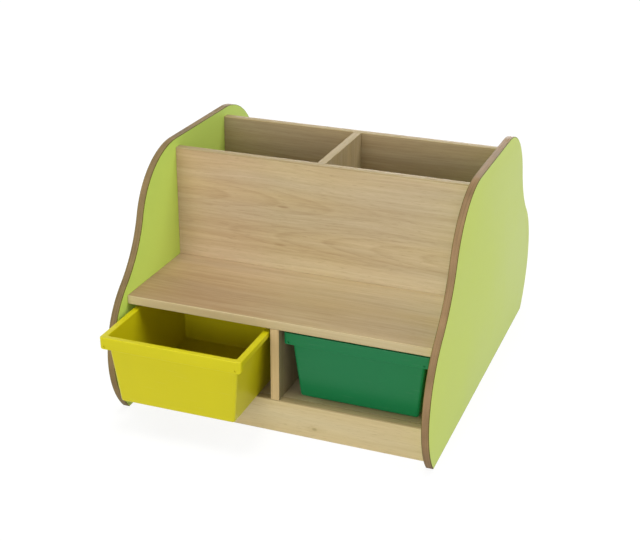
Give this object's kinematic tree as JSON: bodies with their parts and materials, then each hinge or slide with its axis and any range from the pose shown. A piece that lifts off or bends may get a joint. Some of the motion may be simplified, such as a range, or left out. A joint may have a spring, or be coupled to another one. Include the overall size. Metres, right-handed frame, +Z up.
{
  "type": "double-sided bookcase bench",
  "caption": "Low children's bench with wave-shaped sides, a seat on each side of two open book bins and pull-out plastic trays in bays under the seat.",
  "frame": {"origin": "middle of the footprint on the floor, the drawn-out tray included", "axes": "+Z up, -Y towards the pictured front where the trays pull out, +X to the right seen from that front"},
  "size_m": [0.698, 0.9746, 0.527],
  "materials": {
    "lime_panel": "lime melamine faces on MDF, varnished brown edge",
    "beech_board": "pale beech-grain melamine, satin",
    "edge_band": "pale glued edge strip, rounded, satin",
    "yellow_plastic": "moulded polypropylene, fine grain",
    "green_plastic": "moulded polypropylene, fine grain",
    "dowel_wood": "plain turned beech"
  },
  "bodies": {
    "carcass": {"base_shelf": "beech_board", "bay_back": "beech_board", "bin_divider": "beech_board", "bin_divider_band": "edge_band", "front_backrest": "beech_board", "front_backrest_band": "edge_band", "front_bin_divider_high_dowel": "dowel_wood", "front_bin_divider_low_dowel": "dowel_wood", "front_plinth": "beech_board", "front_plinth_band": "edge_band", "front_seat_band": "edge_band", "front_tray_divider": "beech_board", "front_tray_divider_band": "edge_band", "front_tray_divider_inner_dowel": "dowel_wood", "front_tray_divider_outer_dowel": "dowel_wood", "left_bay_back_dowel": "dowel_wood", "left_front_backrest_high_dowel": "dowel_wood", "left_front_backrest_low_dowel": "dowel_wood", "left_front_plinth_dowel": "dowel_wood", "left_front_seat_dowel": "dowel_wood", "left_front_shelf_dowel": "dowel_wood", "left_middle_seat_dowel": "dowel_wood", "left_middle_shelf_dowel": "dowel_wood", "left_rear_backrest_high_dowel": "dowel_wood", "left_rear_backrest_low_dowel": "dowel_wood", "left_rear_plinth_dowel": "dowel_wood", "left_rear_seat_dowel": "dowel_wood", "left_rear_shelf_dowel": "dowel_wood", "left_side": "lime_panel", "rear_backrest": "beech_board", "rear_backrest_band": "edge_band", "rear_bin_divider_high_dowel": "dowel_wood", "rear_bin_divider_low_dowel": "dowel_wood", "rear_plinth": "beech_board", "rear_plinth_band": "edge_band", "rear_seat_band": "edge_band", "rear_tray_divider": "beech_board", "rear_tray_divider_band": "edge_band", "rear_tray_divider_inner_dowel": "dowel_wood", "rear_tray_divider_outer_dowel": "dowel_wood", "right_bay_back_dowel": "dowel_wood", "right_front_backrest_high_dowel": "dowel_wood", "right_front_backrest_low_dowel": "dowel_wood", "right_front_plinth_dowel": "dowel_wood", "right_front_seat_dowel": "dowel_wood", "right_front_shelf_dowel": "dowel_wood", "right_middle_seat_dowel": "dowel_wood", "right_middle_shelf_dowel": "dowel_wood", "right_rear_backrest_high_dowel": "dowel_wood", "right_rear_backrest_low_dowel": "dowel_wood", "right_rear_plinth_dowel": "dowel_wood", "right_rear_seat_dowel": "dowel_wood", "right_rear_shelf_dowel": "dowel_wood", "right_side": "lime_panel", "seat_board": "beech_board"},
    "yellow_tray": {"yellow_tray": "yellow_plastic"},
    "green_tray": {"green_tray": "green_plastic"}
  },
  "joints": [
    {"name": "yellow_tray_slide", "type": "slide", "parent": "carcass", "child": "yellow_tray", "axis": [0, -1, 0], "range_m": [-0.154, 0.09]},
    {"name": "green_tray_slide", "type": "slide", "parent": "carcass", "child": "green_tray", "axis": [0, -1, 0], "range_m": [0, 0.24]}
  ]
}
